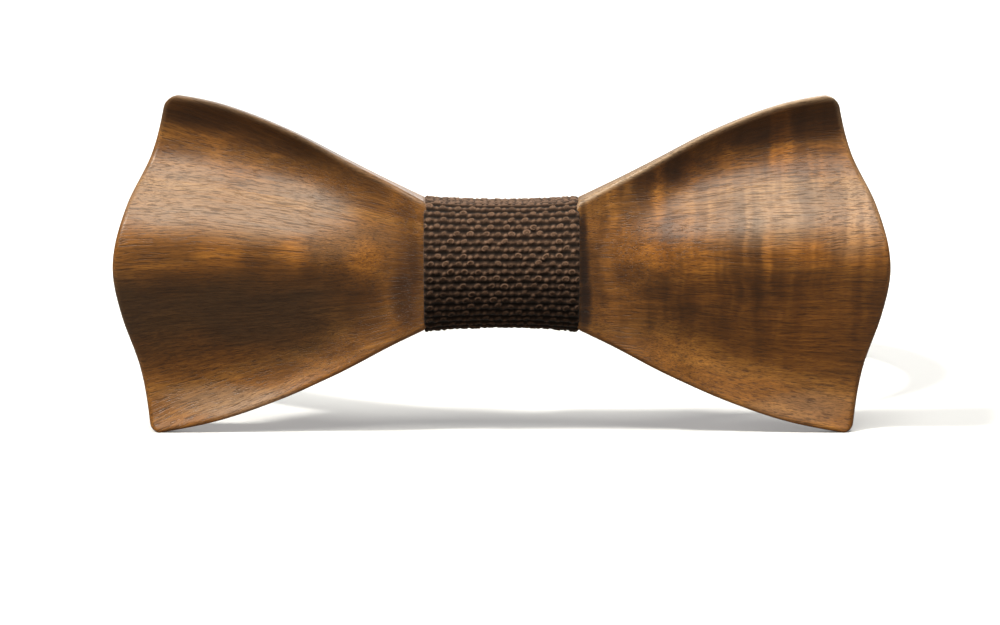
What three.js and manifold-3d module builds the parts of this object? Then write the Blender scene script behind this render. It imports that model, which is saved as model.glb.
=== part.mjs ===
// A bow tie: a bow carved from one block of walnut, a woven cloth wrap round its waist, and a neck strap
// with a hook, an eye and a slider. Millimetres, +X along the bow, +Y to the back, +Z up. The origin is
// on the flat back of the wrap, at its mid-height, where the bow rests against a collar.
import * as THREE from "three";
import { mergeVertices } from "three/addons/utils/BufferGeometryUtils.js";
import Module from "manifold-3d";

const wasm = await Module();
wasm.setup();

// The bow
const NECK_HALF = 11.85; // half the length of the waist that the cloth covers
const SHOULDER_X = 12.1; // where the wings start
const NECK_HEIGHT = 8; // half the waist's height
const NECK_FRONT = -10.6;
const NECK_BACK = -3.6;
const NECK_CROWN = 1.6; // how far the waist's front is crowned
const TOP_EDGE = [[12.1, 10.4], [23.1, 16.1], [32.4, 20.9], [41.7, 24.6], [48.7, 26.25], [56, 26.9]];
const BOTTOM_EDGE = [[12.1, -9.9], [18.5, -13.2], [26.4, -17.4], [34.8, -21.3], [44.7, -24.8], [56, -27.2]];
const END_EDGE = [[-26.5, 55], [-16, 56.8], [-7, 59.2], [1, 60.1], [9.4, 58.1], [16.9, 54.6], [26.5, 52]];
const TOP_CORNER = 2.2;
const BOTTOM_CORNER = 1.7;
const WING_TOP = 26.3;
const WAVE_DEPTH = 4.6; // half the height of the carved wave where the wing is tallest
const WAVE_CREST = 0.12; // where its crest runs, as a share of the half-height
const UPPER_VALLEY = 0.63; // how far the valley above it runs from the crest, as such a share
const LOWER_VALLEY = 0.85;
const WAVE_START = 20; // the length over which the wave rises beside the waist
const FRONT_FACE = [[12.1, -11.5], [17, -10.7], [23, -11.4], [35, -10.8], [61, -9.6]];
const BACK_FACE = [[12.1, -3.9], [20, -6.3], [35, -7.4], [61, -6.8]];
const ROWS = 24;
const WING_STEPS = [0, 0.04, 0.09, 0.15, 0.23, 0.33, 0.45, 0.57, 0.69, 0.8, 0.89, 0.955, 1];

// The cloth wrap
const WRAP_HALF = 11.55;
const CLOTH = 1.8;
const WRAP_HEIGHT = 10.1; // half its height
const WRAP_CORNER = 1.6;
const SEAM_Y = -4; // the wrap's seam, under the waist

// The neck strap
const TAPE = 1.2; // thickness
const TAPE_WIDTH = 15;
const GAP = 0.3; // between pieces that touch
const TAPE_Y = -2.7; // the tape's centre behind the waist
const STRAIGHT = 17; // half the straight stretch behind the knot
const TURN_RADIUS = 28; // where the strap turns back from the knot
const LOOP_RADIUS = 62;
const LOOP_CENTRE = TURN_RADIUS + Math.sqrt((LOOP_RADIUS - TURN_RADIUS) ** 2 - STRAIGHT ** 2);
const DROOP = THREE.MathUtils.degToRad(7.83); // lowers the clasp to the level of the wing tips
const FLEX_ANGLE = -45; // where the strap flexes at each side, in degrees round the loop
const FLEX_GAP = 0.7; // half the clearance there, as the two pieces turn about its middle
const SLIDER_ANGLE = 37;
const FEED_ANGLE = 48; // the tape from here to the eye feeds round the eye
const EYE_ANGLE = 80;
const HOOK_ANGLE = 79; // measured on its own side
const BAR_OFFSET = 1.7; // a bar's centre from the tape's centre line
const RETURN_OFFSET = 1.5; // a returning layer's centre line from the one below
const FOLD_SLOPE = 6; // the length over which a returning layer comes down
const FOLD_LENGTH = 13;
const SEAM_BACK = 9.5; // a fold's seam from its bar

// The clasp
const METAL = 1.2;
const CLASP_HEIGHT = 19.5;
const SLOT_HEIGHT = 16;
const TAPE_SLOT = 3; // the far side of the slot round a bar
const HOOK_SLOT = 11;
const BAR_HALF = 0.6;
const EYE_LENGTH = 9;
const HOOK_PLATE = 5.5;
const TONGUE_WIDTH = 8;
const TONGUE_REACH = 9;
const TONGUE_RADIUS = 1.6;
const SLIDER_HALF = 5.5;
const SLIDER_LOW = -1.7;
const SLIDER_HEIGHT = 18.4;
const RAIL = 1.25;

const THREAD = 0.4;
const ON_TAPE = TAPE / 2 + GAP + THREAD / 2; // a thread's centre line from the tape's

const X_AXIS = new THREE.Vector3(1, 0, 0);
const Y_AXIS = new THREE.Vector3(0, 1, 0);
const Z_AXIS = new THREE.Vector3(0, 0, 1);

const walnut = new THREE.MeshStandardMaterial({ color: 0x7a4e2c, roughness: 0.45 });
const cloth = new THREE.MeshStandardMaterial({ color: 0x3a2a22, roughness: 0.95 });
const tape = new THREE.MeshStandardMaterial({ color: 0x2a1f1a, roughness: 0.85 });
const thread = new THREE.MeshStandardMaterial({ color: 0x4a382c, roughness: 0.8 });
const nickel = new THREE.MeshStandardMaterial({ color: 0xb9b6ae, roughness: 0.3, metalness: 1 });

// A smooth curve through a few points, as a function of their first coordinate.
function through(points) {
  const slope = (i) => {
    const a = points[Math.max(i - 1, 0)];
    const b = points[Math.min(i + 1, points.length - 1)];
    return (b[1] - a[1]) / (b[0] - a[0]);
  };
  return (x) => {
    let i = 0;
    while (i < points.length - 2 && x > points[i + 1][0]) i++;
    const [x0, y0] = points[i];
    const [x1, y1] = points[i + 1];
    const span = x1 - x0;
    const t = (x - x0) / span;
    const rise = t * t * (3 - 2 * t);
    const start = t * (1 - t) * (1 - t) * span * slope(i);
    const end = t * t * (t - 1) * span * slope(i + 1);
    return y0 + (y1 - y0) * rise + start + end;
  };
}

const topEdge = through(TOP_EDGE);
const bottomEdge = through(BOTTOM_EDGE);
const endEdge = through(END_EDGE);
const frontFace = through(FRONT_FACE);
const backFace = through(BACK_FACE);

// How far a rounded corner cuts the wing's end back, at a height across.
function cornerCut(across) {
  const radius = across > 0 ? TOP_CORNER : BOTTOM_CORNER;
  const inset = Math.min((1 - Math.abs(across)) * WING_TOP, radius);
  return radius - Math.sqrt(radius * radius - (radius - inset) ** 2);
}

// A point of the bow on one wing: along from 0 at the waist to 1 at the end, across from -1 to 1.
function wingPoint(along, across, face) {
  const end = endEdge(across * WING_TOP) - cornerCut(across);
  const x = SHOULDER_X + (end - SHOULDER_X) * along;
  const share = (across + 1) / 2;
  const height = topEdge(x) - bottomEdge(x);
  const z = bottomEdge(x) + height * share;
  const rise = THREE.MathUtils.smoothstep(x, SHOULDER_X, SHOULDER_X + WAVE_START);
  const depth = (WAVE_DEPTH * rise * height) / (2 * WING_TOP);
  const valley = across > WAVE_CREST ? UPPER_VALLEY : LOWER_VALLEY;
  const wave = Math.cos((Math.PI * (across - WAVE_CREST)) / valley);
  return [x, (face > 0 ? backFace(x) : frontFace(x)) - depth * wave, z];
}

// A point of the waist, at x.
function neckPoint(x, across, face) {
  const crown = NECK_CROWN * (1 - across * across);
  return [x, face > 0 ? NECK_BACK : NECK_FRONT - crown, across * NECK_HEIGHT];
}

function bowGeometry() {
  const columns = [];
  for (const side of [-1, 1]) {
    const wing = WING_STEPS.map((along) => (across, face) => {
      const [x, y, z] = wingPoint(along, across, face);
      return [side * x, y, z];
    });
    const neck = [0, NECK_HALF / 2, NECK_HALF].slice(side < 0 ? 0 : 1);
    const half = neck.map((x) => (across, face) => neckPoint(side * x, across, face)).concat(wing);
    columns.push(...(side < 0 ? half.reverse() : half));
  }
  const rows = Array.from({ length: ROWS + 1 }, (_, i) => Math.sin((Math.PI / 2) * ((2 * i) / ROWS - 1)));
  const positions = [];
  const index = [];
  const vertex = (c, r, face) => (face > 0 ? columns.length * rows.length : 0) + c * rows.length + r;
  for (const face of [-1, 1]) {
    for (const column of columns) {
      for (const across of rows) positions.push(...column(across, face));
    }
  }
  const quad = (a, b, c, d) => index.push(a, b, c, a, c, d);
  for (let c = 0; c < columns.length - 1; c++) {
    for (let r = 0; r < ROWS; r++) {
      quad(vertex(c, r, -1), vertex(c + 1, r, -1), vertex(c + 1, r + 1, -1), vertex(c, r + 1, -1));
      quad(vertex(c, r, 1), vertex(c, r + 1, 1), vertex(c + 1, r + 1, 1), vertex(c + 1, r, 1));
    }
    quad(vertex(c, 0, -1), vertex(c, 0, 1), vertex(c + 1, 0, 1), vertex(c + 1, 0, -1));
    quad(vertex(c, ROWS, -1), vertex(c + 1, ROWS, -1), vertex(c + 1, ROWS, 1), vertex(c, ROWS, 1));
  }
  const last = columns.length - 1;
  for (let r = 0; r < ROWS; r++) {
    quad(vertex(0, r, -1), vertex(0, r + 1, -1), vertex(0, r + 1, 1), vertex(0, r, 1));
    quad(vertex(last, r, -1), vertex(last, r, 1), vertex(last, r + 1, 1), vertex(last, r + 1, -1));
  }
  const geometry = new THREE.BufferGeometry();
  geometry.setAttribute("position", new THREE.Float32BufferAttribute(positions, 3));
  geometry.setIndex(index);
  return geometry;
}

// The wrap is a band of even section along X, open at both sides: its outline lies in the Y-Z plane.
function wrapGeometry() {
  const front = NECK_FRONT - NECK_CROWN - GAP - CLOTH;
  const shoulder = NECK_FRONT + WRAP_CORNER;
  const outer = new THREE.Shape();
  outer.moveTo(0, -WRAP_HEIGHT + WRAP_CORNER);
  outer.lineTo(0, WRAP_HEIGHT - WRAP_CORNER);
  outer.quadraticCurveTo(0, WRAP_HEIGHT, -WRAP_CORNER, WRAP_HEIGHT);
  outer.lineTo(shoulder, WRAP_HEIGHT);
  outer.bezierCurveTo(shoulder - 3, WRAP_HEIGHT, front, WRAP_HEIGHT / 2, front, 0);
  outer.bezierCurveTo(front, -WRAP_HEIGHT / 2, shoulder - 3, -WRAP_HEIGHT, shoulder, -WRAP_HEIGHT);
  outer.lineTo(-WRAP_CORNER, -WRAP_HEIGHT);
  outer.quadraticCurveTo(0, -WRAP_HEIGHT, 0, -WRAP_HEIGHT + WRAP_CORNER);
  const inside = new THREE.Path();
  const height = NECK_HEIGHT + GAP;
  inside.moveTo(-CLOTH, -height);
  inside.lineTo(NECK_FRONT - GAP, -height);
  inside.quadraticCurveTo(NECK_FRONT - 2 * NECK_CROWN - GAP, 0, NECK_FRONT - GAP, height);
  inside.lineTo(-CLOTH, height);
  inside.closePath();
  outer.holes.push(inside);
  const geometry = new THREE.ExtrudeGeometry(outer, {
    depth: 2 * WRAP_HALF,
    bevelEnabled: false,
    curveSegments: 8,
  });
  geometry.applyMatrix4(new THREE.Matrix4().makeBasis(Y_AXIS, Z_AXIS, X_AXIS));
  return geometry.translate(-WRAP_HALF, 0, 0);
}

// A band of even thickness along a path in plan, standing on edge, centred on the plane of the strap.
function ribbon(path, thickness, width) {
  const normal = path.map((point, i) => {
    const a = path[Math.max(i - 1, 0)];
    const b = path[Math.min(i + 1, path.length - 1)];
    return new THREE.Vector2(a.y - b.y, b.x - a.x).normalize().multiplyScalar(thickness / 2);
  });
  const left = path.map((point, i) => point.clone().add(normal[i]));
  const right = path.map((point, i) => point.clone().sub(normal[i]));
  const outline = new THREE.Shape(left.concat(right.reverse()));
  const geometry = new THREE.ExtrudeGeometry(outline, { depth: width, bevelEnabled: false });
  return geometry.translate(0, 0, -width / 2);
}

// A point on the loop: an angle round it in degrees, and how far outside the tape's centre line.
function onLoop(angle, offset = 0) {
  const turn = THREE.MathUtils.degToRad(angle);
  const radius = LOOP_RADIUS + offset;
  return new THREE.Vector2(radius * Math.cos(turn), LOOP_CENTRE + radius * Math.sin(turn));
}

const degrees = (length) => THREE.MathUtils.radToDeg(length / LOOP_RADIUS);

function arc(from, to, offset = 0) {
  const steps = Math.ceil(Math.abs(to - from) / 4);
  return Array.from({ length: steps + 1 }, (_, i) => onLoop(from + ((to - from) * i) / steps, offset));
}

// The tape's turn round a bar at an angle, then back down on to the layer below it. Back is 1 where
// the returning layer runs on round the loop, and -1 where it runs the other way.
function foldPath(angle, offset, back, length) {
  const path = [];
  for (let i = 0; i <= 8; i++) {
    const turn = (Math.PI * i) / 8;
    const along = degrees(BAR_OFFSET * Math.sin(turn));
    path.push(onLoop(angle - back * along, offset + BAR_OFFSET * (1 - Math.cos(turn))));
  }
  const landed = offset + RETURN_OFFSET;
  const slope = angle + back * degrees(FOLD_SLOPE);
  path.push(onLoop((angle + slope) / 2, (offset + 2 * BAR_OFFSET + landed) / 2));
  path.push(onLoop(slope, landed));
  if (length > FOLD_SLOPE) path.push(...arc(slope, angle + back * degrees(length), landed).slice(1));
  return path;
}

function mesh(name, geometry, material) {
  const piece = new THREE.Mesh(geometry, material);
  piece.name = name;
  return piece;
}

function solid(geometry) {
  const bare = geometry.clone();
  bare.deleteAttribute("normal");
  bare.deleteAttribute("uv");
  const merged = mergeVertices(bare, 1e-4);
  return new wasm.Manifold(
    new wasm.Mesh({
      numProp: 3,
      vertProperties: merged.attributes.position.array,
      triVerts: new Uint32Array(merged.index.array),
    }),
  );
}

function joined(geometries) {
  const whole = geometries.map(solid).reduce((a, b) => a.add(b)).getMesh();
  const geometry = new THREE.BufferGeometry();
  geometry.setAttribute("position", new THREE.Float32BufferAttribute(whole.vertProperties, 3));
  geometry.setIndex(Array.from(whole.triVerts));
  return geometry;
}

// A flat plate in the clasp's own frame: x away from the tape's fold, y out from the neck, z up.
function plate(from, to, slots) {
  const half = CLASP_HEIGHT / 2;
  const corner = 1.2;
  const outline = new THREE.Shape();
  outline.moveTo(from, -half);
  outline.lineTo(to - corner, -half);
  outline.quadraticCurveTo(to, -half, to, -half + corner);
  outline.lineTo(to, half - corner);
  outline.quadraticCurveTo(to, half, to - corner, half);
  outline.lineTo(from, half);
  for (const [a, b, height] of slots) {
    const slot = new THREE.Path();
    slot.moveTo(a, -height / 2);
    slot.lineTo(a, height / 2);
    slot.lineTo(b, height / 2);
    slot.lineTo(b, -height / 2);
    outline.holes.push(slot);
  }
  const geometry = new THREE.ExtrudeGeometry(outline, { depth: METAL, bevelEnabled: false, curveSegments: 3 });
  return geometry.translate(0, 0, -METAL / 2).rotateX(Math.PI / 2);
}

// A plate with a slot for the tape and one for the hook. It points the other way round the loop.
function eyeGeometry() {
  const eye = plate(-BAR_HALF, EYE_LENGTH, [
    [BAR_HALF, TAPE_SLOT, SLOT_HEIGHT],
    [TAPE_SLOT + 1.3, EYE_LENGTH - 1.5, HOOK_SLOT],
  ]);
  return eye.rotateZ(Math.PI);
}

// The hook's tongue curls back on itself, away from the neck.
function hookGeometry() {
  const path = [new THREE.Vector2(HOOK_PLATE - 1, 0), new THREE.Vector2(TONGUE_REACH, 0)];
  for (let i = 1; i <= 8; i++) {
    const turn = (Math.PI * i) / 8;
    const x = TONGUE_REACH + TONGUE_RADIUS * Math.sin(turn);
    path.push(new THREE.Vector2(x, TONGUE_RADIUS * (1 - Math.cos(turn))));
  }
  path.push(new THREE.Vector2(HOOK_PLATE, 2 * TONGUE_RADIUS));
  const frame = plate(-BAR_HALF, HOOK_PLATE, [[BAR_HALF, TAPE_SLOT, SLOT_HEIGHT]]);
  return joined([frame, ribbon(path, METAL - 0.2, TONGUE_WIDTH)]);
}

// Two arched rails joined by a bar at each end, inside the strap, and a raised bar in the middle.
function sliderGeometry() {
  const top = RETURN_OFFSET + BAR_OFFSET + BAR_HALF;
  const rail = new THREE.Shape();
  rail.moveTo(-SLIDER_HALF, SLIDER_LOW);
  rail.lineTo(SLIDER_HALF, SLIDER_LOW);
  rail.lineTo(SLIDER_HALF, SLIDER_LOW + 1);
  rail.quadraticCurveTo(3, top, 0, top);
  rail.quadraticCurveTo(-3, top, -SLIDER_HALF, SLIDER_LOW + 1);
  const rails = [-1, 1].map((side) => {
    const geometry = new THREE.ExtrudeGeometry(rail, { depth: RAIL, bevelEnabled: false, curveSegments: 4 });
    return geometry.translate(0, 0, (side * (SLIDER_HEIGHT - RAIL)) / 2 - RAIL / 2);
  });
  const low = [-1, 1].map((side) => {
    const bar = new THREE.BoxGeometry(1.6, 0.8, SLIDER_HEIGHT - 0.4);
    return bar.translate(side * (SLIDER_HALF - 0.8), SLIDER_LOW + 0.4, 0);
  });
  const middle = new THREE.CylinderGeometry(BAR_HALF, BAR_HALF, SLIDER_HEIGHT - 0.4, 12);
  middle.rotateX(Math.PI / 2).translate(0, RETURN_OFFSET + BAR_OFFSET, 0);
  return joined([...rails, ...low, middle]);
}

// A zigzag of thread in the X-Y plane, as long as it says along X.
function zigzag(length, height, turns) {
  const path = [];
  for (let i = 0; i <= turns; i++) {
    path.push(new THREE.Vector2((length * i) / turns - length / 2, (i % 2 ? 1 : -1) * (height / 2)));
  }
  return ribbon(path, THREAD, THREAD);
}

// The zigzag that sews a folded end of tape: it runs up the tape, on the loop's outer face.
function tapeThread(name) {
  const geometry = zigzag(TAPE_WIDTH - 3, 2.4, 10);
  geometry.applyMatrix4(new THREE.Matrix4().makeBasis(Z_AXIS, X_AXIS, Y_AXIS));
  return mesh(name, geometry, thread);
}

// Places a piece on the loop, with its x clockwise round the loop and its y out from the neck.
function onStrap(piece, angle, offset, side) {
  const place = onLoop(angle, offset);
  piece.position.set(side * place.x, place.y, 0);
  piece.rotation.z = side * THREE.MathUtils.degToRad(angle - 90);
  return piece;
}

// The strap's front stretch stands upright behind the waist and leans with the loop further out.
function frontTape() {
  const turn = THREE.MathUtils.radToDeg(Math.atan2(TURN_RADIUS - LOOP_CENTRE, STRAIGHT));
  const half = [];
  for (let i = 0; i <= 4; i++) {
    const bend = THREE.MathUtils.degToRad(((90 + turn) * i) / 4);
    half.push(new THREE.Vector2(STRAIGHT + TURN_RADIUS * Math.sin(bend), TURN_RADIUS * (1 - Math.cos(bend))));
  }
  half.push(...arc(turn, FLEX_ANGLE - degrees(FLEX_GAP)).slice(1));
  const path = [...half.map((p) => new THREE.Vector2(-p.x, p.y)).reverse(), ...half];
  const geometry = ribbon(path, TAPE, TAPE_WIDTH);
  const position = geometry.attributes.position;
  for (let i = 0; i < position.count; i++) {
    const [x, back, up] = [position.getX(i), position.getY(i), position.getZ(i)];
    const lean = DROOP * THREE.MathUtils.smoothstep(Math.abs(x), STRAIGHT, 2 * STRAIGHT);
    const y = TAPE_Y + back * Math.cos(DROOP) + up * Math.sin(lean);
    position.setXYZ(i, x, y, up * Math.cos(lean) - back * Math.sin(DROOP));
  }
  return geometry;
}

const mirrored = (path) => path.map((point) => new THREE.Vector2(-point.x, point.y));

const bow = new THREE.Group();
bow.add(mesh("wood_bow", bowGeometry(), walnut));
bow.add(mesh("knot_wrap", wrapGeometry(), cloth));
const knotThread = mesh("knot_thread", zigzag(22, 2, 14), thread);
knotThread.position.set(0, SEAM_Y, -WRAP_HEIGHT - GAP - THREAD / 2);
bow.add(knotThread);
bow.add(mesh("strap_front", frontTape(), tape));

// Everything on the loop lies in its leaning plane.
const loop = new THREE.Group();
loop.position.y = TAPE_Y;
loop.rotation.x = -DROOP;
bow.add(loop);

const armStart = FLEX_ANGLE + degrees(FLEX_GAP);
const hookArm = mirrored(arc(armStart, HOOK_ANGLE - degrees(GAP)));
loop.add(mesh("strap_hook_arm", ribbon(hookArm, TAPE, TAPE_WIDTH), tape));
const hookFold = mirrored(foldPath(HOOK_ANGLE, 0, -1, FOLD_LENGTH));
loop.add(mesh("hook_fold", ribbon(hookFold, TAPE, TAPE_WIDTH), tape));
const hookSeam = HOOK_ANGLE - degrees(SEAM_BACK);
loop.add(onStrap(tapeThread("hook_thread"), hookSeam, RETURN_OFFSET + ON_TAPE, -1));
loop.add(onStrap(mesh("hook", hookGeometry(), nickel), HOOK_ANGLE, BAR_OFFSET, -1));

loop.add(mesh("strap_eye_arm", ribbon(arc(armStart, FEED_ANGLE), TAPE, TAPE_WIDTH), tape));
const feed = arc(FEED_ANGLE + degrees(GAP), EYE_ANGLE - degrees(GAP));
loop.add(mesh("strap_feed", ribbon(feed, TAPE, TAPE_WIDTH), tape));
loop.add(mesh("eye_fold", ribbon(foldPath(EYE_ANGLE, 0, -1, FOLD_SLOPE), TAPE, TAPE_WIDTH), tape));
loop.add(onStrap(mesh("eye", eyeGeometry(), nickel), EYE_ANGLE, BAR_OFFSET, 1));

const sliderFold = foldPath(SLIDER_ANGLE, RETURN_OFFSET, 1, FOLD_LENGTH);
const returning = arc(SLIDER_ANGLE + degrees(GAP), EYE_ANGLE - degrees(FOLD_SLOPE + GAP), RETURN_OFFSET);
loop.add(mesh("adjust_loop", ribbon(returning, TAPE, TAPE_WIDTH), tape));
loop.add(mesh("slider_fold", ribbon(sliderFold, TAPE, TAPE_WIDTH), tape));
const sliderSeam = SLIDER_ANGLE + degrees(SEAM_BACK);
loop.add(onStrap(tapeThread("slider_thread"), sliderSeam, 2 * RETURN_OFFSET + ON_TAPE, 1));
loop.add(onStrap(mesh("slider", sliderGeometry(), nickel), SLIDER_ANGLE, 0, 1));

export default bow;
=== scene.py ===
"""A carved walnut bow tie with a woven cloth wrap and an adjustable neck strap."""
import math

import bmesh
import bpy
import numpy as np
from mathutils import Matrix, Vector


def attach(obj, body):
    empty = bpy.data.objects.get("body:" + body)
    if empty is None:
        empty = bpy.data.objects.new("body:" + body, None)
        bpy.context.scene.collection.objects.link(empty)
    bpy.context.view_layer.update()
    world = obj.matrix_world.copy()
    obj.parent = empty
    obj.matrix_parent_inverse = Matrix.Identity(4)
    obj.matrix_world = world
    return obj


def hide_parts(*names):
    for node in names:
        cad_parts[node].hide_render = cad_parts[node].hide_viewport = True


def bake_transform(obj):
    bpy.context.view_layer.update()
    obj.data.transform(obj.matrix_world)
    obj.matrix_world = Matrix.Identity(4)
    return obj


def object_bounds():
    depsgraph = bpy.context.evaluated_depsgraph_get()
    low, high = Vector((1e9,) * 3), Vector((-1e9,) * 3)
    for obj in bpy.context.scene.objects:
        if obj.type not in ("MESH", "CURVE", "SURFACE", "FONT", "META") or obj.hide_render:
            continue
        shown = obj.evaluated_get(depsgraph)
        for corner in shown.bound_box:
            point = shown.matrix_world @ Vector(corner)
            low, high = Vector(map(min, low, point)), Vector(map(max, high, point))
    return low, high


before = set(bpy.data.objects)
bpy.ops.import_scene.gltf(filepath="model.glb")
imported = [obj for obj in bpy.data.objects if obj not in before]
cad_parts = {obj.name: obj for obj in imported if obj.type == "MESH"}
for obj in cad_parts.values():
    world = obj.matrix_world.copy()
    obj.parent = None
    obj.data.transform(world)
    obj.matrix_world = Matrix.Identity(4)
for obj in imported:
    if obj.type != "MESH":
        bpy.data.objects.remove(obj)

cad_box = [list(corner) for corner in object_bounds()]
MM = 0.001
SEED = 7
rng = np.random.default_rng(SEED)

# ---------------- sizes, as in the CAD part
# in millimetres, and degrees round the loop
# the waist between the wings
NECK_HALF = 11.85
SHOULDER_X = 12.1
NECK_HEIGHT = 8.0 # half its height
NECK_FRONT = -10.6
NECK_BACK = -3.6
NECK_CROWN = 1.6
# the outline of the right wing: places along the bow and up it, and up it and along it at the end
TOP_EDGE = [(12.1, 10.4), (23.1, 16.1), (32.4, 20.9), (41.7, 24.6), (48.7, 26.25), (56, 26.9)]
BOTTOM_EDGE = [(12.1, -9.9), (18.5, -13.2), (26.4, -17.4), (34.8, -21.3), (44.7, -24.8), (56, -27.2)]
END_EDGE = [(-26.5, 55), (-16, 56.8), (-7, 59.2), (1, 60.1), (9.4, 58.1), (16.9, 54.6), (26.5, 52)]
TOP_CORNER = 2.2
BOTTOM_CORNER = 1.7
WING_TOP = 26.3
# the wave across it, whose crest and valleys are shares of the half-height
WAVE_DEPTH = 4.6
WAVE_CREST = 0.12
UPPER_VALLEY = 0.63
LOWER_VALLEY = 0.85
WAVE_START = 20.0 # how far from the waist the wave is full
FRONT_FACE = [(12.1, -11.5), (17, -10.7), (23, -11.4), (35, -10.8), (61, -9.6)]
BACK_FACE = [(12.1, -3.9), (20, -6.3), (35, -7.4), (61, -6.8)]
EDGE_ROUND = 0.9

WRAP_HALF = 11.55 # half its width
WRAP_HEIGHT = 10.1 # half its height
WRAP_CORNER = 1.6
WRAP_CLOTH = 1.7
WRAP_GAP = 0.3 # between the waist and the cloth
WRAP_FRONT = 1.8 # the cloth's thickness at the front

TAPE = 1.2 # its thickness
TAPE_WIDTH = 15.0
TAPE_Y = -2.7
STRAIGHT = 17.0 # half of the tape's straight stretch behind the waist
TURN_RADIUS = 28.0
LOOP_RADIUS = 62.0
LOOP_CENTRE = TURN_RADIUS + math.sqrt((LOOP_RADIUS - TURN_RADIUS) ** 2 - STRAIGHT ** 2)
DROOP = math.radians(7.83) # how much the loop slopes down to the back
# places round the loop, in degrees from the side towards the back
SLIDER_ANGLE = 37.0
EYE_ANGLE = 80.0
HOOK_ANGLE = 79.0
BAR_OFFSET = 1.7 # from the tape's middle to the middle of the bar that it turns round
RETURN_OFFSET = 1.5 # between the middles of two layers of tape
FOLD_SLOPE = 6.0 # how far from the bar the folded tape lands on the layer below
FOLD_LENGTH = 13.0
SEAM_BACK = 9.5 # from the bar to the seam through the fold


# ---------------- camera, lights and floor
# lengths here are in metres, but for the floor's corners
FLOOR_Z = cad_box[0][2]
FLOOR = [(-4000, -3000, 0), (4000, -3000, 0), (4000, 5000, 0), (-4000, 5000, 0)]
CAMERA_DISTANCE = 0.6
CAMERA_ELEVATION = math.radians(7.6)
VIEW_WIDTH = 0.1556 # what the view takes in across, at the bow
BOW_PLANE_Y = -0.010
AIM_SIDE = -0.00025 # the middle of the view lies this far beside the bow's
AIM_BELOW = 0.0072 # and this far below it
AMBIENT = 0.075 # how strongly the white surroundings light the scene


def make_camera():
    data = bpy.data.cameras.new("camera")
    data.lens = data.sensor_width * CAMERA_DISTANCE / VIEW_WIDTH
    data.clip_start = 0.01
    camera = bpy.data.objects.new("camera", data)
    bpy.context.scene.collection.objects.link(camera)
    forward = Vector((0, math.cos(CAMERA_ELEVATION), -math.sin(CAMERA_ELEVATION)))
    camera.location = Vector((AIM_SIDE, BOW_PLANE_Y, -AIM_BELOW)) - forward * CAMERA_DISTANCE
    camera.rotation_euler = forward.to_track_quat("-Z", "Y").to_euler()
    bpy.context.scene.camera = camera


def add_light(name, kind, toward, power, colour=(1, 1, 1), place=(0, 0, 0), **settings):
    data = bpy.data.lights.new(name, kind)
    data.energy = power
    data.color = colour
    for key, value in settings.items():
        setattr(data, key, value)
    light = bpy.data.objects.new(name, data)
    light.location = place
    light.rotation_euler = Vector(toward).to_track_quat("-Z", "Y").to_euler()
    bpy.context.scene.collection.objects.link(light)


def make_studio():
    """A hard key and a wide soft light from above, weak ones from the front and back, and a back fill."""
    suns = [
        ("key", (0.50, 0.38, -0.78), 3.0, (1.0, 0.97, 0.88), 8),
        ("softbox", (-0.06, 0.42, -0.91), 2.2, (1.0, 0.98, 0.90), 38),
        ("front", (-0.20, 0.97, -0.05), 0.50, (1.0, 0.84, 0.66), 60),
        ("rim", (0.0, -0.88, -0.48), 0.2, (1.0, 0.97, 0.93), 40),
    ]
    for name, toward, power, colour, spread in suns:
        add_light(name, "SUN", toward, power, colour, angle=math.radians(spread))
    add_light("back", "AREA", (-0.15, -0.54, -0.40), 2.5, place=(0.15, 0.60, 0.40), shape="DISK", size=0.50)
    world = bpy.data.worlds.new("studio")
    world.use_nodes = True
    nodes, links = world.node_tree.nodes, world.node_tree.links
    ray = nodes.new("ShaderNodeLightPath")
    seen = nodes.new("ShaderNodeMapRange")
    seen.inputs[3].default_value = AMBIENT
    seen.inputs[4].default_value = 1.0
    links.new(ray.outputs["Is Camera Ray"], seen.inputs["Value"])
    links.new(seen.outputs[0], nodes["Background"].inputs["Strength"])
    nodes["Background"].inputs["Color"].default_value = (1, 1, 1, 1)
    bpy.context.scene.world = world
    bpy.context.scene.view_settings.view_transform = "Standard"


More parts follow.
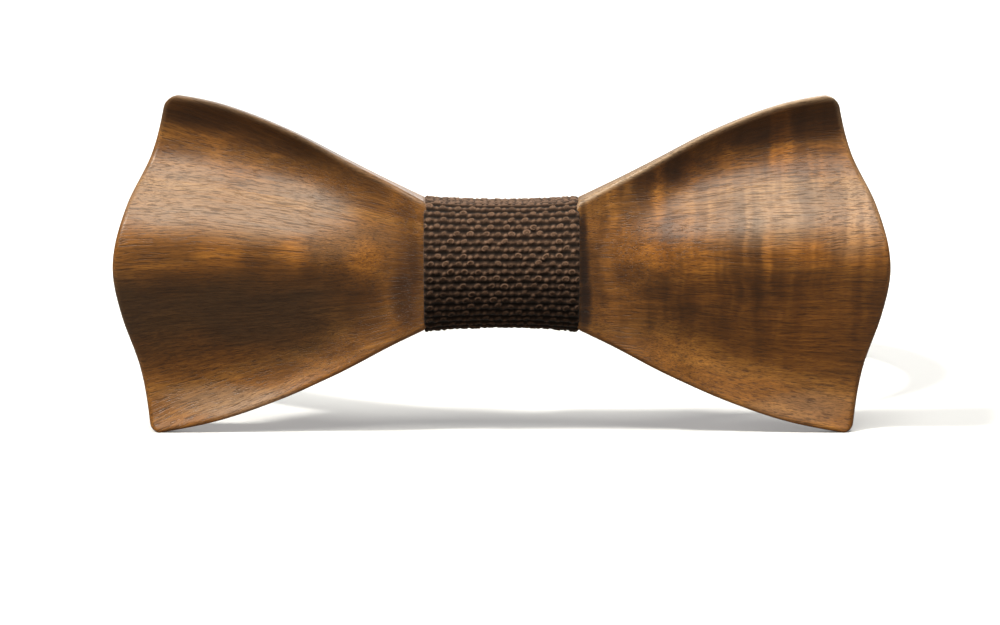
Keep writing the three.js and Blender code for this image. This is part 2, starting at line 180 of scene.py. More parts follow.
# ---------------- materials
class Shader:
    """A node material: each call adds a node and gives its output, to feed the next."""

    def __init__(self, name):
        self.material = bpy.data.materials.new(name)
        self.material.use_nodes = True
        self.tree = self.material.node_tree
        self.surface = self.tree.nodes["Principled BSDF"]
        self.place = self.stretched(self.node("ShaderNodeTexCoord", "Object"), (1 / MM,) * 3)

    def feed(self, socket, value):
        if isinstance(value, bpy.types.NodeSocket):
            self.tree.links.new(value, socket)
        elif value is not None:
            socket.default_value = value

    def node(self, kind, output=0, inputs=(), **settings):
        made = self.tree.nodes.new(kind)
        for key, value in settings.items():
            setattr(made, key, value)
        for key, value in dict(inputs).items():
            self.feed(made.inputs[key], value)
        return made.outputs[output]

    def maths(self, operation, a, b=None, c=None):
        inputs = {i: v for i, v in enumerate((a, b, c)) if v is not None}
        return self.node("ShaderNodeMath", inputs=inputs, operation=operation)

    def plus(self, a, b):
        return self.maths("ADD", a, b)

    def times(self, a, b):
        return self.maths("MULTIPLY", a, b)

    def noise(self, place, scale, detail=3.0, roughness=0.5):
        inputs = {"Vector": place, "Scale": scale, "Detail": detail, "Roughness": roughness}
        return self.node("ShaderNodeTexNoise", inputs=inputs)

    def stretched(self, place, scale):
        return self.node("ShaderNodeVectorMath", inputs={0: place, 1: scale}, operation="MULTIPLY")

    def ramp(self, value, stops):
        made = self.tree.nodes.new("ShaderNodeValToRGB")
        elements = made.color_ramp.elements
        while len(elements) < len(stops):
            elements.new(0.5)
        for element, (at, colour) in zip(elements, stops):
            element.position = at
            element.color = (*colour, 1)
        self.feed(made.inputs[0], value)
        return made.outputs["Color"]

    def step(self, value, low, high, start=0.0, end=1.0, kind="SMOOTHSTEP"):
        """From start to end as the value goes from low to high, smoothly unless kind says otherwise."""
        inputs = {"Value": value, 1: low, 2: high, 3: start, 4: end}
        return self.node("ShaderNodeMapRange", inputs=inputs, interpolation_type=kind)

    def patches(self, x, z, spots):
        """How strongly soft oval patches cover a point, from spots of the form that DARK_FIGURE_AND_SHADE has."""
        cover = 0.0
        for at_x, at_z, wide, high, strength in spots:
            across = self.maths("MULTIPLY_ADD", x, 1 / wide, -at_x / wide)
            up = self.maths("MULTIPLY_ADD", z, 1 / high, -at_z / high)
            apart = self.maths("MULTIPLY_ADD", up, up, self.times(across, across))
            cover = self.maths("MAXIMUM", cover, self.step(apart, 0.0, PATCH_REACH, strength, 0.0))
        return cover

    def mix(self, factor, a, b, blend="MIX"):
        made = self.tree.nodes.new("ShaderNodeMix")
        made.data_type = "RGBA"
        made.blend_type = blend
        self.feed(made.inputs["Factor"], factor)
        self.feed(made.inputs[6], (*a, 1) if isinstance(a, tuple) else a)
        self.feed(made.inputs[7], (*b, 1) if isinstance(b, tuple) else b)
        return made.outputs[2]

    def tint(self, factor, colour, by):
        """A colour multiplied by another, as strongly as the factor says."""
        return self.mix(factor, colour, self.mix(1.0, colour, by, "MULTIPLY"))

    def bump(self, height, distance, strength):
        made = self.tree.nodes.new("ShaderNodeBump")
        made.inputs["Strength"].default_value = strength
        made.inputs["Distance"].default_value = distance * MM
        self.feed(made.inputs["Height"], height)
        return made.outputs[0]

    def attribute(self, name):
        return self.node("ShaderNodeAttribute", output="Fac", attribute_name=name)

    def finish(self, colour, roughness, normal=None, **constants):
        self.feed(self.surface.inputs["Base Color"], colour)
        self.feed(self.surface.inputs["Roughness"], roughness)
        self.feed(self.surface.inputs["Normal"], normal)
        for key, value in constants.items():
            self.surface.inputs[key.replace("_", " ")].default_value = value
        return self.material


PATCH_REACH = 1.9 # a patch fades out where the square of the distance, in half-sizes, comes to this
# Where the wood is painted darkest, partly its dark figure and partly painted shade: x, z, half-width and
# half-height in millimetres, and strength.
DARK_FIGURE_AND_SHADE = [
    (-45.6, 23.3, 7, 2.6, 0.65), (-37, 21.8, 6, 2.4, 0.45), (-30, 18.6, 6, 2.6, 0.65),
    (-38.3, 1.8, 2.2, 4, 0.3), (-29.4, 2.2, 1.8, 4, 0.36), (-25.6, 0, 1.8, 4, 0.3),
    (-52, 2.8, 5, 1.3, 0.3), (-15, 8.5, 1.6, 3.5, 0.45), (-14.8, -3.5, 2.8, 7.5, 0.8),
    (-21, -7, 3.5, 4.5, 0.6), (-16.5, -9.5, 3, 3, 0.35),
    (36.5, 2.5, 0.9, 10, 0.42), (39.3, 0.5, 1, 9.5, 0.5), (43.1, -0.5, 1.4, 5, 0.42),
    (20.8, 2.9, 1.6, 7, 0.38), (18.4, 9.5, 0.9, 4.5, 0.4), (26.6, 8, 1.8, 9, 0.48),
    (30, 10.5, 0.8, 8, 0.22), (22.2, 11.6, 1.7, 4, 0.7), (27.5, 15.6, 2.8, 3.6, 0.8),
    (33.5, 19.5, 4, 2.2, 0.45), (39.5, 21.3, 6.5, 3.6, 0.8), (40.6, 17, 1.6, 3.2, 0.45),
    (48.8, 22.8, 4.5, 4.4, 0.78), (47.3, 11.5, 2.2, 4.5, 0.28), (19.7, -0.8, 2.4, 2.5, 0.6),
    (51.5, 2.6, 3.5, 1.4, 0.18), (50.4, -1.8, 7, 1.5, 0.25), (24, -3, 3, 2.6, 0.42),
    (28.5, -6.2, 3, 2.4, 0.36), (34, -10, 3.5, 2, 0.3), (40, -13, 4, 1.8, 0.3),
    (20.5, -9.5, 3.5, 3, 0.4), (-39.2, 18, 4.5, 2.3, 0.5), (-32.7, 15, 4.5, 2.3, 0.5),
    (-26.4, 10.6, 3.8, 2.6, 0.55), (-20, 11.6, 2.6, 2.2, 0.35), (-26.4, -13.2, 4.5, 1.8, 0.4),
    (-50, 17.8, 5.5, 1.8, 0.48), (-51, -0.8, 5.5, 1.3, 0.3), (-35.8, -16.4, 5, 1.6, 0.3),
    (-31, 11, 3.5, 1.8, 0.22), (-17.2, -0.6, 1.6, 2.2, 0.3), (-21.5, -10.2, 2.8, 1.8, 0.3),
    (39.5, 15, 2.4, 2, 0.25), (44, 15.2, 2.6, 2, 0.3), (48.5, 18, 2.6, 2, 0.25),
    (29.5, 11.8, 2.4, 2, 0.28), (20.2, 8.6, 1.7, 3, 0.62), (39, -0.7, 2.2, 2, 0.5),
]
# Where the wood is painted brighter, partly its golden figure and partly painted light, in the same form.
GLOWING_FIGURE_AND_LIGHT = [
    (-21.2, 1.6, 2.2, 3, 0.6), (-31.8, 2.6, 2.4, 2.6, 0.5), (-43, 2.6, 4, 2.2, 0.4),
    (-52, -0.5, 5, 1.6, 0.25), (24.3, 12.9, 1.3, 5, 0.55), (43.6, 19.4, 1.8, 5, 0.6),
    (25, 1.8, 2.6, 2.6, 0.6), (31, -0.5, 3.5, 4, 0.5), (41.3, 2, 0.9, 5, 0.45),
    (47.6, 2.4, 4, 2.4, 0.6), (55.5, 5, 4.5, 5, 0.5), (49, -8, 10, 7.5, 0.6),
    (17.5, 7.5, 1.6, 5, 0.15), (33, -13, 8, 3, 0.3), (-51.5, -11, 5, 4, 0.28),
    (41, -9, 11, 10, 0.26), (53, 5.5, 5, 3.5, 0.6), (22.5, 15, 1.2, 2.5, 0.45),
    (43.6, 21.4, 1.8, 2.8, 0.55), (34.2, 17.6, 2.6, 1.8, 0.4), (29.5, 14.8, 1.8, 1.8, 0.4),
    (24, 2.5, 4, 2, 0.45), (20, 2.5, 2.5, 1.5, 0.25), (31.8, -3.8, 5, 2.2, 0.5),
    (43.5, 2.4, 3, 2, 0.35),
]
# Where a painted sheen stands in for the satin highlight, in the same form.
PAINTED_SHEEN = [
    (-50.5, 11, 9.5, 5, 0.38), (-37, 9, 13, 4.5, 0.33), (44, 9, 14, 5, 0.4),
    (54, 8.5, 6.5, 6, 0.44), (-41, -21.5, 11, 2.4, 0.34), (47, -22.5, 8, 2.2, 0.16),
    (-26, 5, 8, 3, 0.14),
]
# Where the knot and the waist's groove keep light off the wings, in the same form.
SHADE = [
    (12.6, 5, 0.65, 5, 0.85), (12.8, -0.5, 0.85, 4.5, 0.95), (13, -4.6, 1.05, 3.4, 0.97),
    (12.9, -7.4, 1.05, 2.2, 0.95), (-13.7, 1.5, 0.8, 5, 0.35), (-15.2, -4.6, 1.7, 4, 0.4),
]


def walnut():
    s = Shader("walnut")
    x, y, z = (s.node("ShaderNodeSeparateXYZ", output=i, inputs={0: s.place}) for i in range(3))
    # the grain runs along the bow and fans out from the waist, with slow waves
    left = s.step(x, -60.0, -8.0, 1.23, 0.43, "LINEAR")
    fan = s.plus(left, s.step(x, -8.0, 8.0, 0.0, 0.32, "LINEAR"))
    fan = s.plus(fan, s.step(x, 8.0, 60.0, 0.0, 0.37, "LINEAR"))
    drift = s.noise(s.stretched(s.place, (0.03, 0.05, 0.05)), 1.0, 2.0)
    height = s.plus(s.maths("DIVIDE", z, fan), s.times(drift, 5.0))
    grain = s.node("ShaderNodeCombineXYZ", inputs={0: x, 1: y, 2: height})
    # growth rings, cut by the carved face
    ring = s.plus(s.times(y, 0.30), s.times(height, 0.22))
    wander = s.noise(s.stretched(grain, (0.02, 0.10, 0.10)), 1.0, 3.0)
    ring = s.plus(ring, s.times(wander, 4.0))
    bands = s.noise(s.node("ShaderNodeCombineXYZ", inputs={0: ring}), 0.75, 2.0)
    colour = s.ramp(bands, [
        (0.30, (0.172, 0.068, 0.014)), (0.42, (0.234, 0.094, 0.018)), (0.52, (0.296, 0.121, 0.023)),
        (0.62, (0.348, 0.153, 0.031)), (0.76, (0.260, 0.107, 0.021)),
    ])
    # painted shade: a dark band along the top edge and another below the middle, where the carved face
    # turns down away from the light
    reach = s.maths("SUBTRACT", s.maths("ABSOLUTE", x), SHOULDER_X)
    rise = s.times(reach, s.maths("MULTIPLY_ADD", reach, -0.0052, 0.60))
    cloudy = s.noise(s.stretched(s.place, (0.10, 0.06, 0.2)), 1.0, 3.0)
    below = s.maths("SUBTRACT", s.plus(rise, TOP_EDGE[0][1]), z)
    below = s.plus(below, s.times(cloudy, 6.0))
    top = s.times(s.step(below, 5.0, 9.5, 0.55, 0.0), s.step(reach, 4.0, 12.0))
    colour = s.mix(top, colour, (0.070, 0.034, 0.012))
    edge = s.plus(z, s.times(cloudy, 8.0))
    low = s.times(s.step(edge, -13.0, -5.0), s.step(edge, -1.0, 5.0, 1.0, 0.0))
    low = s.times(low, s.step(s.maths("ABSOLUTE", x), 18.0, 32.0))
    low = s.times(low, s.step(x, -15.0, 15.0, 0.70, 0.15))
    colour = s.mix(low, colour, (0.075, 0.050, 0.027))
    streaks = s.noise(s.stretched(grain, (0.05, 2.2, 2.2)), 1.0, 6.0, 0.66)
    streaked = s.ramp(streaks, [(0.34, (0.50, 0.45, 0.41)), (0.66, (1.36, 1.32, 1.26))])
    colour = s.mix(0.75, colour, streaked, "MULTIPLY")
    # figure: soft bands across the grain that waver, strongest on the right wing
    warp = s.noise(s.stretched(s.place, (0.08, 0.05, 0.16)), 1.0, 3.0)
    sway = s.maths("MULTIPLY_ADD", warp, 3.0, -1.5)
    bent = s.plus(x, sway)
    raised = s.plus(z, sway)
    # dark patches, partly the wood's figure and partly painted shade
    colour = s.tint(s.patches(bent, raised, DARK_FIGURE_AND_SHADE), colour, (0.22, 0.17, 0.15))
    # bright patches, partly the figure's glow and partly painted light
    colour = s.tint(s.patches(bent, raised, GLOWING_FIGURE_AND_LIGHT), colour, (2.1, 2.0, 1.45))
    # a painted sheen in place of the satin highlight
    colour = s.mix(s.patches(bent, raised, PAINTED_SHEEN), colour, (0.44, 0.33, 0.225))
    curl = s.node("ShaderNodeCombineXYZ", inputs={0: bent, 1: s.times(z, 0.10)})
    ripple = s.step(s.noise(curl, 0.42, 2.0, 0.6), 0.35, 0.65)
    rippled = s.ramp(ripple, [(0.0, (0.52, 0.46, 0.42)), (1.0, (1.3, 1.28, 1.2))])
    where = s.times(s.step(x, 10.0, 16.0), s.step(z, -16.0, -8.0, 0.15, 0.55))
    colour = s.tint(where, colour, rippled)
    # a painted highlight along the top edge, where the light falls on it, most of all on the right wing
    painted_rim = s.times(s.attribute("rim"), s.step(x, -15.0, 15.0, 0.28, 0.90))
    colour = s.mix(painted_rim, colour, (0.46, 0.31, 0.185))
    # open pores: short dark dashes along the grain
    pores = s.step(s.noise(s.stretched(grain, (0.28, 5.2, 5.2)), 1.0, 2.0, 0.5), 0.54, 0.66)
    fine = s.step(s.noise(s.stretched(grain, (0.65, 9.0, 9.0)), 1.0, 2.0, 0.6), 0.48, 0.66, 0.0, 0.85)
    dark = s.maths("MAXIMUM", pores, fine)
    colour = s.mix(s.times(dark, 0.68), colour, (0.048, 0.020, 0.008))
    colour = s.tint(s.patches(x, z, SHADE), colour, (0.09, 0.055, 0.035))
    normal = s.bump(s.times(pores, -1.0), 0.035, 0.7)
    roughness = s.plus(0.33, s.times(streaks, 0.14))
    gloss = {"Specular_IOR_Level": 0.44, "Coat_Weight": 0.06, "Coat_Roughness": 0.35}
    return s.finish(colour, roughness, normal, **gloss)


# the colours of a weave where it is deep, half-way and high, darker in the hollows as painted shade and
# lighter on the crests as a painted highlight, the pitch of its yarns, and fibres to a yarn
KNOT_COLOURS = (0.010, 0.0058, 0.0036), (0.055, 0.031, 0.0195), (0.290, 0.175, 0.115)
TAPE_COLOURS = (0.010, 0.007, 0.005), (0.028, 0.018, 0.013), (0.060, 0.040, 0.028)
KNOT_YARN = 0.6
TAPE_YARN = 0.45
FIBRES = 7


def woven(name, low, middle, high, yarn_pitch):
    """Cloth with modelled yarns: "lift" is how high a point stands in it, and "shade" how much painted
    shade lies on it; the colour is darker where the yarn lies deep, as painted shade, and lighter on the
    crests, as a painted highlight.
    """
    s = Shader(name)
    # painted shade in the weave's hollows and a painted highlight on its crests
    colour = s.ramp(s.attribute("lift"), [(0.05, low), (0.5, middle), (1.0, high)])
    # painted shade towards the cloth's underside, from the "shade" attribute
    shaded = s.ramp(s.attribute("shade"), [(0.0, (1, 1, 1)), (1.0, (0.30, 0.28, 0.27))])
    colour = s.mix(1.0, colour, shaded, "MULTIPLY")
    fibre = s.noise(s.place, FIBRES / yarn_pitch, 4.0, 0.7)
    fibrous = s.ramp(fibre, [(0.3, (0.45, 0.42, 0.40)), (0.7, (1.5, 1.46, 1.42))])
    colour = s.mix(0.65, colour, fibrous, "MULTIPLY")
    gloss = {"Specular_IOR_Level": 0.15, "Sheen_Weight": 0.10, "Sheen_Roughness": 0.5}
    return s.finish(colour, 0.92, s.bump(fibre, 0.16, 0.8), **gloss)


def sewing_thread():
    s = Shader("thread")
    ply = s.noise(s.place, 6.0, 3.0, 0.6)
    colour = s.ramp(ply, [(0.3, (0.050, 0.032, 0.022)), (0.7, (0.160, 0.108, 0.075))])
    return s.finish(colour, 0.6, s.bump(ply, 0.05, 0.5), Specular_IOR_Level=0.35, Sheen_Weight=0.15)


def plated():
    s = Shader("nickel")
    wear = s.noise(s.place, 0.25, 3.0, 0.5)
    scratches = s.noise(s.stretched(s.place, (3.0, 3.0, 0.3)), 1.0, 3.0, 0.6)
    colour = s.mix(s.step(wear, 0.30, 0.70), (0.34, 0.32, 0.29), (0.42, 0.40, 0.37))
    roughness = s.plus(0.36, s.times(scratches, 0.18))
    return s.finish(colour, roughness, s.bump(scratches, 0.006, 0.15), Metallic=1.0)


def pale_floor():
    """White to the camera, and a dark table to the light that it throws back up."""
    s = Shader("floor")
    # the first output says whether the camera sees the point
    ray = s.node("ShaderNodeLightPath")
    colour = s.mix(ray, (0.20, 0.18, 0.16), (0.86, 0.86, 0.86))
    s.feed(s.surface.inputs["Emission Color"], (1, 1, 1, 1))
    s.feed(s.surface.inputs["Emission Strength"], s.times(ray, 0.08))
    return s.finish(colour, 0.85, None, Specular_IOR_Level=0.05)


# ---------------- mesh helpers
def make_object(name, points, faces, material, smooth=True, attributes=()):
    """A mesh object from points in millimetres."""
    mesh = bpy.data.meshes.new(name)
    corners = [list(map(int, face)) for face in faces]
    mesh.from_pydata((np.asarray(points, float) * MM).tolist(), [], corners)
    mesh.polygons.foreach_set("use_smooth", [smooth] * len(mesh.polygons))
    for key, values in dict(attributes).items():
        layer = mesh.attributes.new(key, "FLOAT", "POINT")
        layer.data.foreach_set("value", np.asarray(values, np.float32).ravel())
    mesh.materials.append(material)
    mesh.validate()
    made = bpy.data.objects.new(name, mesh)
    bpy.context.scene.collection.objects.link(made)
    return made


def grid_faces(rows, columns, close_rows=False, close_columns=False):
    """Quads of a grid of points, row by row, that may close on itself either way."""
    r = np.arange(rows if close_rows else rows - 1)[:, None]
    c = np.arange(columns if close_columns else columns - 1)[None, :]
    r1, c1 = (r + 1) % rows, (c + 1) % columns
    quads = np.stack([r * columns + c, r * columns + c1, r1 * columns + c1, r1 * columns + c], -1)
    return quads.reshape(-1, 4)


def tube_faces(rings, section):
    """Quads along a tube made of rings of points, and a cap at each end."""
    quads = [tuple(face) for face in grid_faces(rings, section, close_columns=True)]
    return quads + [tuple(range(section))[::-1], tuple(range((rings - 1) * section, rings * section))]


def joined(shapes):
    """The points and faces of several shapes as one."""
    points, faces = [], []
    for shape, quads in shapes:
        base = sum(len(p) for p in points)
        points.append(shape)
        faces += [tuple(i + base for i in face) for face in quads]
    return np.concatenate(points), faces


def tidy_normals(piece):
    """Joins points that coincide, and turns every face outwards."""
    work = bmesh.new()
    work.from_mesh(piece.data)
    bmesh.ops.remove_doubles(work, verts=work.verts, dist=1e-7)
    bmesh.ops.recalc_face_normals(work, faces=work.faces)
    work.to_mesh(piece.data)
    work.free()


def unit(vectors):
    return vectors / np.linalg.norm(vectors, axis=1)[:, None]


def distances(path):
    """How far along a path each of its points lies."""
    return np.concatenate([[0], np.cumsum(np.linalg.norm(np.diff(path, axis=0), axis=1))])


def smoothstep(value, low, high):
    t = np.clip((np.asarray(value, float) - low) / (high - low), 0, 1)
    return t * t * (3 - 2 * t)


def through(points):
    """A smooth curve through a few points, as a function of their first coordinate."""
    x, y = np.array(points, float).T
    ahead = np.minimum(np.arange(len(x)) + 1, len(x) - 1)
    behind = np.maximum(np.arange(len(x)) - 1, 0)
    slope = (y[ahead] - y[behind]) / (x[ahead] - x[behind])

    def curve(at):
        i = np.clip(np.searchsorted(x, at) - 1, 0, len(x) - 2)
        span = x[i + 1] - x[i]
        t = (at - x[i]) / span
        rise = (y[i + 1] - y[i]) * t * t * (3 - 2 * t)
        return y[i] + rise + t * (1 - t) ** 2 * span * slope[i] + t * t * (t - 1) * span * slope[i + 1]

    return curve


# ---------------- the carved bow
WING_COLUMNS = 110
BOW_ROWS = 150
TOP_PAINTED_RIM = (-1.3, -0.35) # a painted highlight lies along the top edge from here to here, from the outline inwards
# the painted highlight along the end, from here to here
END_PAINTED_RIM = (-1.0, -0.2)
END_PAINTED_RIM_SHARE = 0.35 # how strong the painted highlight is on the end beside the top
BACK_PAINTED_RIM_SHARE = 0.45 # and the back beside the front


def wing_surface(along, across):
    """x, front, back and z of points on the right wing, and how strongly a painted highlight lies on them
    along the top edge and the end.
    """
    top, bottom, end_edge = through(TOP_EDGE), through(BOTTOM_EDGE), through(END_EDGE)
    corner = np.where(across > 0, TOP_CORNER, BOTTOM_CORNER)
    inset = np.minimum((1 - np.abs(across)) * WING_TOP, corner)
    end = end_edge(across * WING_TOP) - (corner - np.sqrt(corner ** 2 - (corner - inset) ** 2))
    x = SHOULDER_X + (end - SHOULDER_X) * along
    height = top(x) - bottom(x)
    z = bottom(x) + height * (across + 1) / 2
    depth = WAVE_DEPTH * smoothstep(x, SHOULDER_X, SHOULDER_X + WAVE_START) * height / (2 * WING_TOP)
    valley = np.where(across > WAVE_CREST, UPPER_VALLEY, LOWER_VALLEY)
    wave = depth * np.cos(np.pi * (across - WAVE_CREST) / valley)
    edge = np.minimum((1 - np.abs(across)) * height / 2, (1 - along) * (end - SHOULDER_X))
    inside = EDGE_ROUND - np.minimum(edge, EDGE_ROUND)
    rounded = EDGE_ROUND - np.sqrt(EDGE_ROUND ** 2 - inside ** 2)
    front = through(FRONT_FACE)(x) - wave + rounded
    back = through(BACK_FACE)(x) - wave - rounded
    # a painted highlight along the top edge, where the light falls, and more weakly along the end
    painted_rim = smoothstep((across - 1) * height / 2, *TOP_PAINTED_RIM)
    painted_rim_end = smoothstep((along - 1) * (end - SHOULDER_X), *END_PAINTED_RIM) * smoothstep(across, -0.1, 0.6)
    return x, front, back, z, np.maximum(painted_rim, END_PAINTED_RIM_SHARE * painted_rim_end)


def neck_surface(x, across):
    """The same for the waist, which gets no painted highlight."""
    front = NECK_FRONT - NECK_CROWN * (1 - across ** 2)
    back = np.full_like(across, NECK_BACK)
    return np.full_like(across, x), front, back, across * NECK_HEIGHT, 0 * across


def make_bow(material):
    """Columns of points from end to end, closer together at the edges, front and back, joined by a rim."""
    across = np.sin(np.pi / 2 * np.linspace(-1, 1, BOW_ROWS + 1))
    alongs = np.sin(np.pi / 2 * np.linspace(0, 1, WING_COLUMNS)) ** 1.15
    wing = [wing_surface(np.full_like(across, along), across) for along in alongs]
    neck = [neck_surface(x, across) for x in (0.0, NECK_HALF / 2, NECK_HALF - 1.2)]
    right = [np.array(column) for column in neck + wing]
    left = [column * np.array([[-1], [1], [1], [1], [1]]) for column in right[:0:-1]]
    columns = np.array(left + right) # column, coordinate, row
    count, rows = len(columns), BOW_ROWS + 1
    sides = [np.stack([columns[:, 0], columns[:, k], columns[:, 3]], -1).reshape(-1, 3) for k in (1, 2)]
    quads = grid_faces(count, rows)
    back = count * rows
    rim = []
    for row in (0, rows - 1):
        a = np.arange(count - 1) * rows + row
        rim.append(np.stack([a, a + rows, a + rows + back, a + back], -1))
    for column in (0, count - 1):
        a = column * rows + np.arange(rows - 1)
        rim.append(np.stack([a, a + 1, a + 1 + back, a + back], -1))
    faces = np.concatenate([quads, quads + back, *rim])
    # the painted highlight along the edges, weaker on the back
    painted_rim = columns[:, 4].ravel()
    attributes = {"rim": np.concatenate([painted_rim, BACK_PAINTED_RIM_SHARE * painted_rim])}
    bow = make_object("carved_bow", np.concatenate(sides), faces, material, attributes=attributes)
    tidy_normals(bow)
    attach(bow, "bow")
    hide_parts("wood_bow")


# ---------------- the woven wrap
ROW_PITCH = 1.18
LOOP_PITCH = 1.05
LOOP_RISE = 0.09 # how far the high loops stand above their row's line, and the low ones below it
LOOP_TILT = 0.16
LOOP_SHIFT = (0.12, 0.08, 0.14) # how much the loops differ along the row, across it and in tilt
CORD = (0.62, 0.38) # height and half-width of the yarn that runs along a row under its loops
PLY_PERIOD = 0.38 # the twist of the yarn
ARCH_RADIUS = 0.29
ARCH_YARN = 0.15 # half-width of the arch's yarn
ARCH_STRETCH = 1.3
HOLE_RADIUS = 0.17 # of the hollow in the arch
MOST_LIFT = 1.1
WEAVE_STEP = 0.092
WEAVE_DEPTH = 0.40
WRAP_LENGTH = 66 # a little more than the way round, for counting the steps
SWELL = 0.5 # how far the soft cloth stands wider than its plain solid, up to the wings
WRAP_FLARE = 0.65 # the side edges stand this much further out than the middle
HEM_ROUND = 0.5
LAP = 0.35 # the step where the cloth's end laps over, under the waist


def bezier(a, b, c, d, count):
    """Points on a cubic curve, without the last one."""
    t = np.linspace(0, 1, count, endpoint=False)[:, None]
    a, b, c, d = (np.array(p, float) for p in (a, b, c, d))
    return (1 - t) ** 3 * a + 3 * (1 - t) ** 2 * t * b + 3 * (1 - t) * t * t * c + t ** 3 * d


def wrap_section(count):
    """Evenly spaced points of the wrap's outline in the Y-Z plane, from the seam under the waist.

    Gives the points, their outward normals, how far round each lies, and the outline's whole length."""
    high, corner = WRAP_HEIGHT, WRAP_CORNER
    front = NECK_FRONT - NECK_CROWN - WRAP_GAP - WRAP_FRONT
    shoulder = NECK_FRONT + corner

    def line(a, b):
        third = np.subtract(b, a) / 3
        return bezier(a, a + third, b - third, b, 60)

    low = -high
    outline = np.concatenate([
        line((-5, low), (-corner, low)),
        bezier((-corner, low), (-corner / 3, low), (0, low + corner * 2 / 3), (0, low + corner), 40),
        line((0, low + corner), (0, high - corner)),
        bezier((0, high - corner), (0, high - corner / 3), (-corner * 2 / 3, high), (-corner, high), 40),
        line((-corner, high), (shoulder, high)),
        bezier((shoulder, high), (shoulder - 3, high), (front, high / 2), (front, 0), 120),
        bezier((front, 0), (front, low / 2), (shoulder - 3, low), (shoulder, low), 120),
        line((shoulder, low), (-5, low)),
    ])
    closed = np.vstack([outline, outline[:1]])
    length = distances(closed)
    at = np.linspace(0, length[-1], count, endpoint=False)
    points = np.stack([np.interp(at, length, closed[:, k]) for k in (0, 1)], -1)
    smooth = sum(np.roll(points, k, axis=0) for k in range(-3, 4)) / 7
    tangent = np.roll(smooth, -1, axis=0) - np.roll(smooth, 1, axis=0)
    return smooth, unit(np.stack([tangent[:, 1], -tangent[:, 0]], -1)), at, length[-1]


def side_flare(x, half):
    """How far the cloth stands out at a place across it, more towards its side edges."""
    return WRAP_FLARE * ((np.abs(x) / half) ** 2.5 - 0.4)


def knob(a, b, wide, high, sharp_a, sharp_b):
    """A flat-topped bump, 1 in its middle."""
    return np.exp(-(np.abs(a) / wide) ** sharp_a - (np.abs(b) / high) ** sharp_b)


def high_loop(a, b, size, opening, firmness, strength):
    """A solid loop under an arch of yarn that opens to one side and leaves a small hollow in its middle."""
    solid = 0.84 * knob(a, b, 0.50, 0.43, 2.6, 2.4)
    radius, turn = np.hypot(a / ARCH_STRETCH, b), np.arctan2(b, a / ARCH_STRETCH)
    gap = np.exp(-((np.mod(turn - opening + np.pi, 2 * np.pi) - np.pi) / 0.8) ** 2)
    arch = np.exp(-((radius - size) / ARCH_YARN) ** 2) * (1 - 0.7 * gap) * firmness
    hole = strength * np.exp(-(np.hypot(a / ARCH_STRETCH, b - 0.06) / HOLE_RADIUS) ** 2)
    return np.maximum(solid, arch), hole


def weave_height(x, around, girth):
    """A plain weave of thick yarn: a loop stands high at every second column, with a low knob between."""
    rows = 2 * round(girth / ROW_PITCH / 2)
    pitch = girth / rows
    columns = round(2 * (WRAP_HALF + SWELL) / LOOP_PITCH) + 4
    # each loop's own place along and across its row, its size, its twist, its firmness and its tilt
    jitter = rng.normal(0, 1, (6, rows, columns))
    lift = np.zeros(np.broadcast(x, around).shape)
    base_row = np.floor(around / pitch).astype(int)
    column = np.floor(x / LOOP_PITCH).astype(int)
    for dr in (-1, 0, 1):
        row = (base_row + dr) % rows
        down = around - (base_row + dr + 0.5) * pitch
        sway = LOOP_RISE * np.cos(np.pi * (x / LOOP_PITCH - 0.5 + row))
        lift = np.maximum(lift, CORD[0] * np.exp(-((down + sway) / CORD[1]) ** 2))
        for dc in (-1, 0, 1):
            c = np.clip(column + dc + columns // 2, 0, columns - 1)
            along, across, size, twist, firm, tilt = jitter[:, row, c]
            over = (row + column + dc) % 2 == 0
            a = x - (column + dc + 0.5) * LOOP_PITCH - LOOP_SHIFT[0] * along
            b = down + np.where(over, LOOP_RISE, -LOOP_RISE) - LOOP_SHIFT[1] * across
            b = b + (LOOP_TILT + LOOP_SHIFT[2] * tilt) * a
            ply = 1 + 0.09 * np.cos(2 * np.pi * (a * 0.8 + b * 1.1) / PLY_PERIOD + 3 * twist)
            strength = np.clip(0.15 + 0.25 * firm, 0.0, 1.0)
            opening = np.pi / 2 + 0.45 * twist
            arch_size = ARCH_RADIUS * (1 + 0.12 * size)
            loop, hole = high_loop(a, b, arch_size, opening, 0.90 + 0.10 * size, strength)
            low = (0.90 + 0.10 * firm) * knob(a, b, 0.44, 0.40, 2.4, 2.2)
            lift = np.maximum(lift, np.clip(np.where(over, loop * ply - hole, low * ply), 0, MOST_LIFT))
    return lift


